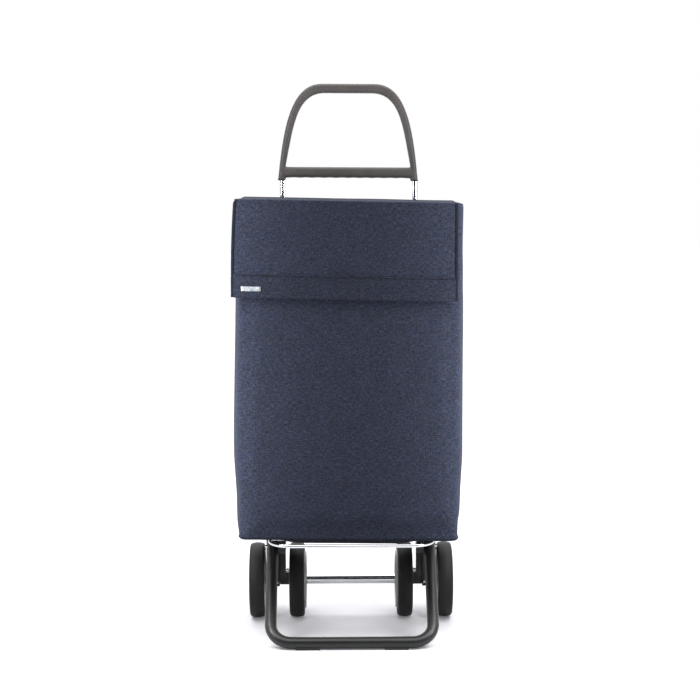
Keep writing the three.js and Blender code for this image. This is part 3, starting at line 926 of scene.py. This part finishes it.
def make_bag_seams():
    """Bound seams round the bag's foot and round its rim."""
    for name, height, inset in (("foot", BAG_BOTTOM + 0.006, 0.0018), ("rim", BAG_TOP, 0.0008)):
        points = [settled_bag_place(inward(p, BAG_MIDDLE, inset, height)) for p in bag_outline()]
        rings = tube_rings([points[-1]] + points + [points[0]], 0.0012, 10, (0, 0, 1))[1:-1]
        seam = recalculated(f"bag_seam_{name}", *skin_rings(rings, loop=True))
        piece = finish_mesh(f"bag_seam_{name}", seam, BINDING, "frame")
        weave_uv(piece.data)
        squash_with_platform(piece)


def sheet_piece(name, lines, surface, body, thickness, lining):
    """A sheet through rows of points, given some thickness behind its face."""
    width = len(lines[0])
    faces = [
        (i * width + j, i * width + j + 1, (i + 1) * width + j + 1, (i + 1) * width + j)
        for i in range(len(lines) - 1) for j in range(width - 1)
    ]
    mesh = bpy.data.meshes.new(name)
    mesh.from_pydata([tuple(p) for line in lines for p in line], [], faces)
    piece = finish_mesh(name, mesh, surface, body)
    weave_uv(piece.data)
    piece.data.materials.append(lining)
    add_modifier(piece, "SUBSURF", levels=1, render_levels=1)
    add_modifier(piece, "SOLIDIFY", thickness=thickness, offset=-1.0, material_offset=1)
    return apply_modifiers(piece)


# The lid overhangs the bag's sides with two short ears.
LID_HALF = 0.2072
LID_EDGE = 0.008          # radius between the lid's top and its ears
LID_EAR = 0.0565          # how far the ears hang down
LID_SAG = 0.0014


def corner_inset(y):
    """How far the lid's sides draw in where they wrap round the bag's front corners."""
    into_corner = clamped(BAG_FRONT + BAG_CORNER - y, BAG_CORNER)
    return BAG_CORNER - math.sqrt(BAG_CORNER ** 2 - into_corner ** 2)


def lid_line(y):
    """One line across the lid: up an ear, round the edge, over the top and down the other ear."""
    depth = (y - BAG_FRONT) / (BAG_BACK - BAG_FRONT)
    reach = LID_HALF - corner_inset(y)
    ear = [(-reach + 0.02 * (drop - LID_EDGE), drop) for drop in between(LID_EAR, LID_EDGE, 6)]
    angles = between(0, math.pi / 2, 5)[1:-1]
    bend = [(-reach + LID_EDGE * (1 - math.cos(a)), LID_EDGE * (1 - math.sin(a))) for a in angles]
    flat = [(x, 0.0) for x in between(-reach + LID_EDGE, reach - LID_EDGE, 36)]
    mirrored = [(-x, drop) for x, drop in reversed(ear + bend)]
    points = []
    for across, drop in ear + bend + flat + mirrored:
        x = across + bag_middle(LID_TOP)
        sag = LID_SAG * math.sin(math.pi * clamped(depth)) * (1 - (across / LID_HALF) ** 4)
        waver = 0.0006 * noise.noise(Vector((x * 9, y * 9, drop * 9)))
        points.append(Vector((x, y, lid_height(x, y) - drop - sag + waver)))
    return points


def make_lid():
    corner = [BAG_FRONT + BAG_CORNER * (1 - math.sin(a)) for a in between(math.pi / 2, 0, 5)]
    lines = [lid_line(y) for y in corner + between(corner[-1], BAG_BACK + 0.0005, 19)[1:]]
    tuck = Vector((0, -0.0030, -0.0004))
    lines.insert(0, [p + tuck for p in lines[0]])
    lid = sheet_piece("lid_cover", lines, FABRIC, "lid", FABRIC_THICKNESS, LINING_AND_UNDERSIDE_SHADE)
    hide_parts("lid_panel", "lid_ear_left", "lid_ear_right")
    points = [p + Vector((0, 0.0006, -0.0010)) for p in lines[-1] if p.z > lid_height(p.x, p.y) - LID_EDGE]
    piping = swept_tube("lid_back_piping", points, 0.0017, BINDING, "frame", 12, (0, 1, 0))
    weave_uv(piping.data)
    for piece in (lid, piping):
        squash_with_platform(piece)


# The flap hangs a little to the left of the bag's middle and spreads towards its hem.
FLAP_RIGHT = 0.1943
FLAP_TOP_LEFT = -0.2112
FLAP_SPREAD = 0.0062
BINDING_WIDTH = 0.0052
FLAP_CORNER = 0.009       # radius of the flap's upper left corner


def flap_left(z):
    down = clamped((LID_TOP - z) / (LID_TOP - HEM_BOTTOM))
    into_corner = clamped(z - (LID_TOP - FLAP_CORNER), FLAP_CORNER * 0.98)
    rounding = FLAP_CORNER - math.sqrt(FLAP_CORNER ** 2 - into_corner ** 2)
    return FLAP_TOP_LEFT - FLAP_SPREAD * (1 - (1 - down) ** 2.2) + rounding


def flap_place(share, z, proud=0.0):
    """A point of the flap's face: share runs from its left edge (0) to its right edge (1)."""
    x = flap_left(z) * (1 - share) + FLAP_RIGHT * share
    down = (LID_TOP - z) / (LID_TOP - HEM_BOTTOM)
    wave = 0.0007 * math.sin(17 * x + 0.6) + 0.0005 * noise.noise(Vector((x * 14, z * 11, 0.3)))
    y = FLAP_FRONT - 0.0012 * down * down + wave * down - proud
    return Vector((x, y, settled_height(x, BAG_FRONT, z)))


def flap_line(share):
    """One line down the flap: rolled over the lid's front edge, then down to the hem seam."""
    roll = 0.0030
    shoulder = flap_place(share, LID_TOP - roll)
    rolled = [
        shoulder + Vector((0, roll * (1 - math.sin(a)), roll * math.cos(a)))
        for a in between(0, math.pi / 2, 4)[:-1]
    ]
    heights = between(LID_TOP - roll, LID_TOP - FLAP_CORNER, 3)
    heights += between(LID_TOP - FLAP_CORNER, HEM_TOP - 0.004, 15)[1:]
    return rolled + [flap_place(share, z) for z in heights]


def hem_line(share):
    return [flap_place(share, z, 0.0010) for z in between(HEM_TOP, HEM_BOTTOM, 6)]


def ribbon(name, points, width_way, width, thickness, surface):
    """A flat band on the flap, with rounded edges, that follows points."""
    section = superellipse(width / 2, thickness / 2, 4.0, 16)
    rings = [[p + Vector(width_way) * a + Vector((0, 1, 0)) * b for a, b in section] for p in points]
    piece = finish_mesh(name, recalculated(name, *skin_rings(rings)), surface, "flap")
    weave_uv(piece.data)
    return piece


def stitch_row(name, path, length, pitch, radius):
    """Separate rounded stitches on the flap, laid along path(t) for t from 0 to 1."""
    count = max(2, int((path(1.0) - path(0.0)).length / pitch))
    fullness = {-0.5: 0.35, -0.4: 0.8, -0.15: 1.0, 0.15: 1.0, 0.4: 0.8, 0.5: 0.35}
    widths = [radius * share for share in fullness.values()]
    stitches = []
    for i in range(count):
        middle = path((i + 0.5) / count)
        direction = (path((i + 1) / count) - path(i / count)).normalized()
        points = [middle + direction * (length * along) for along in fullness]
        stitches.append(skin_rings(tube_rings(points, widths.__getitem__, 8, (0, -1, 0))))
    return finish_mesh(name, recalculated(name, *joined(stitches)), THREAD, "flap")


def make_flap_side(name, edge, inset):
    """The binding down one side edge of the flap, and the stitches beside it."""
    heights = between(LID_TOP - 0.0015, LID_TOP - FLAP_CORNER, 5)
    heights += between(LID_TOP - 0.012, HEM_BOTTOM + 0.0005, 22)
    points = [flap_place(edge, z) + Vector((inset, 0.0008, 0)) for z in heights]
    binding = ribbon(f"flap_binding_{name}", points, (1, 0, 0), BINDING_WIDTH, 0.0044, BINDING)

    def stitch_path(t):
        height = LID_TOP - 0.006 + (HEM_BOTTOM + 0.004 - LID_TOP + 0.006) * t
        return flap_place(edge, height) + Vector((inset * 1.35, -0.0013, 0))

    stitches = stitch_row(f"flap_stitches_{name}", stitch_path, length=0.0022, pitch=0.0034, radius=0.00035)
    return [binding, stitches]


def hem_stitch_path(t):
    return flap_place(0.017 + 0.966 * t, HEM_TOP - 0.0022, 0.0015)


def make_flap():
    shares = between(0, 1, 40)
    panel = sheet_piece("flap_cover", [flap_line(share) for share in shares],
                        FABRIC, "flap", FABRIC_THICKNESS, LINING_AND_UNDERSIDE_SHADE)
    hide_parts("flap_panel")
    band = sheet_piece("flap_hem_band", [hem_line(share) for share in shares],
                       HEM_FABRIC, "flap", 0.0030, HEM_FABRIC)
    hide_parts("flap_hem")
    trimmings = [band]
    trimmings += make_flap_side("left", 0, BINDING_WIDTH / 2)
    trimmings += make_flap_side("right", 1, -BINDING_WIDTH / 2)
    trimmings.append(stitch_row("hem_stitches", hem_stitch_path, length=0.0026, pitch=0.0037, radius=0.0006))
    label_points = [flap_place(share, HEM_BOTTOM + 0.0165, 0.0014) for share in between(0.045, 0.132, 8)]
    trimmings.append(ribbon("blank_label", label_points, (0, 0, 1), width=0.0085, thickness=0.0009,
                            surface=LABEL))
    for piece in [panel] + trimmings:
        squash_with_platform(piece)


def make_base_board():
    """The stiff board that lies on the bag's bottom, with rounded corners and a softened edge."""
    board = "base_board"
    foot_middle = bag_middle(BAG_BOTTOM)
    half_width = bag_half_width(BAG_BOTTOM) - FABRIC_THICKNESS - 0.004
    outline = rounded_rectangle(half_width, high(board).y, low(board).y, 0.012, 0.05)
    middle_y = centre(board).y
    softening = 0.0008
    levels = [(low(board).z, softening), (low(board).z + softening, 0),
              (high(board).z - softening, 0), (high(board).z, softening)]
    rings = []
    for height, inset in levels:
        ring = [inward(p, middle_y, inset, height + 0.0025) for p in outline]
        rings.append([Vector((p.x + foot_middle, p.y, settled_height(p.x, p.y, p.z))) for p in ring])
    mesh = recalculated("board", *skin_rings(rings))
    made = finish_mesh("stiff_base_board", mesh, BOARD, "platform")
    sharpen(made)
    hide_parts(board)


# -------------------- floor, light and camera

FLOOR_HALF = 14.0
FLOOR_GLOW = 0.12         # lets the far floor fade to white
DIFFUSE_SKY = 0.1
OVERHEAD_STRENGTH = 3.15
BACK_FILL_POWER = 9
STRIP_POWER = 3.1
STRIP_HEIGHT = 0.70

# The camera as fitted to the photograph; angles in degrees.
CAMERA_PLACE = (-0.026, -3.274, 0.900)
CAMERA_LENS = 88.71
CAMERA_DOWN = 6.24
CAMERA_TURN = -0.44
CAMERA_ROLL = -0.2

def make_floor():
    mesh = bpy.data.meshes.new("floor")
    signs = ((-1, -1), (1, -1), (1, 1), (-1, 1))
    corners = [(x * FLOOR_HALF, y * FLOOR_HALF, 0) for x, y in signs]
    mesh.from_pydata(corners, [], [(0, 1, 2, 3)])
    floor = bpy.data.objects.new("floor", mesh)
    bpy.context.scene.collection.objects.link(floor)
    surface = material("floor_paper", (0.93, 0.93, 0.97), 0.9)
    speckle = noise_value(surface, coordinates(surface), 60.0, 3.0)
    paper = ramp(surface, speckle, [(0.3, (0.925, 0.925, 0.965)), (0.7, (0.935, 0.935, 0.975))])
    bounced = node(surface, "ShaderNodeLightPath").outputs["Is Diffuse Ray"]
    link(surface, mix_color(surface, bounced, paper, (0.22, 0.22, 0.23)), "Base Color")
    shader = surface.node_tree.nodes["Principled BSDF"]
    shader.inputs["Emission Color"].default_value = (0.95, 0.95, 1.0, 1)
    seen = node(surface, "ShaderNodeLightPath").outputs["Is Camera Ray"]
    link(surface, math_node(surface, "MULTIPLY", seen, FLOOR_GLOW), "Emission Strength")
    mesh.materials.append(surface)


def make_world():
    """White to the eye, dim for diffuse light, and for reflections white with a dark camera side."""
    world = bpy.data.worlds.new("studio")
    bpy.context.scene.world = world
    world.use_nodes = True
    direction = node(world, "ShaderNodeTexCoord").outputs["Generated"]
    toward_back = node(world, "ShaderNodeSeparateXYZ", {"Vector": direction}).outputs["Y"]
    fade = {"Value": toward_back, "From Min": -0.85, "From Max": -0.05, "To Min": 0.03, "To Max": 1.0}
    reflected = node(world, "ShaderNodeMapRange", fade).outputs["Result"]
    path = node(world, "ShaderNodeLightPath").outputs
    strength = DIFFUSE_SKY
    for ray, value in (("Is Glossy Ray", reflected), ("Is Camera Ray", 1.0)):
        inputs = {"Factor": path[ray], "A": strength, "B": value}
        strength = node(world, "ShaderNodeMix", inputs, data_type="FLOAT").outputs["Result"]
    background = world.node_tree.nodes["Background"]
    background.inputs["Color"].default_value = (1.0, 1.0, 1.0, 1)
    world.node_tree.links.new(strength, background.inputs["Strength"])


def area_light(name, place, aim, size, power):
    data = bpy.data.lights.new(name, "AREA")
    data.shape = "RECTANGLE"
    data.size, data.size_y = size
    data.energy = power
    lamp = bpy.data.objects.new(name, data)
    lamp.location = place
    lamp.rotation_euler = (Vector(aim) - Vector(place)).to_track_quat("-Z", "Y").to_euler()
    lamp.visible_camera = False
    bpy.context.scene.collection.objects.link(lamp)


def make_lights():
    """A soft overhead glow keeps the floor white; two upright strips rake across the bag's front
    and a weak softbox lights its back."""
    overhead = bpy.data.lights.new("overhead_glow", "SUN")
    overhead.energy = OVERHEAD_STRENGTH
    overhead.angle = math.radians(80)
    glow = bpy.data.objects.new("overhead_glow", overhead)
    bpy.context.scene.collection.objects.link(glow)
    area_light("back_fill", (0, 1.7, 1.0), (0, 0, 0.5), (1.6, 1.6), BACK_FILL_POWER)
    for side, sign in SIDES.items():
        place = (sign * 0.335, BAG_FRONT - 0.105, STRIP_HEIGHT)
        aim = (sign * 0.15, BAG_FRONT, STRIP_HEIGHT)
        area_light(f"{side}_strip", place, aim, (0.03, 1.1), STRIP_POWER)


def make_camera():
    data = bpy.data.cameras.new("camera")
    data.lens = CAMERA_LENS
    data.sensor_width = 36.0
    camera = bpy.data.objects.new("camera", data)
    camera.location = CAMERA_PLACE
    aim = Euler((math.radians(90 - CAMERA_DOWN), 0, math.radians(CAMERA_TURN))).to_matrix()
    roll = Matrix.Rotation(math.radians(CAMERA_ROLL), 3, "Z")
    camera.rotation_euler = (aim @ roll).to_euler()
    bpy.context.scene.collection.objects.link(camera)
    bpy.context.scene.camera = camera


make_bag()
make_bag_seams()
make_base_board()
make_lid()
make_flap()
make_handle()
make_frame()
make_platform()
make_stand()
make_sleeve()
for wheel in ("outer_left", "outer_right", "inner_left", "inner_right"):
    make_tyre(wheel, f"wheel_{wheel}")
    make_hub(wheel, f"wheel_{wheel}")
dress_kept_nodes()

make_floor()
make_world()
make_lights()
make_camera()
bpy.context.scene.view_settings.view_transform = "Standard"
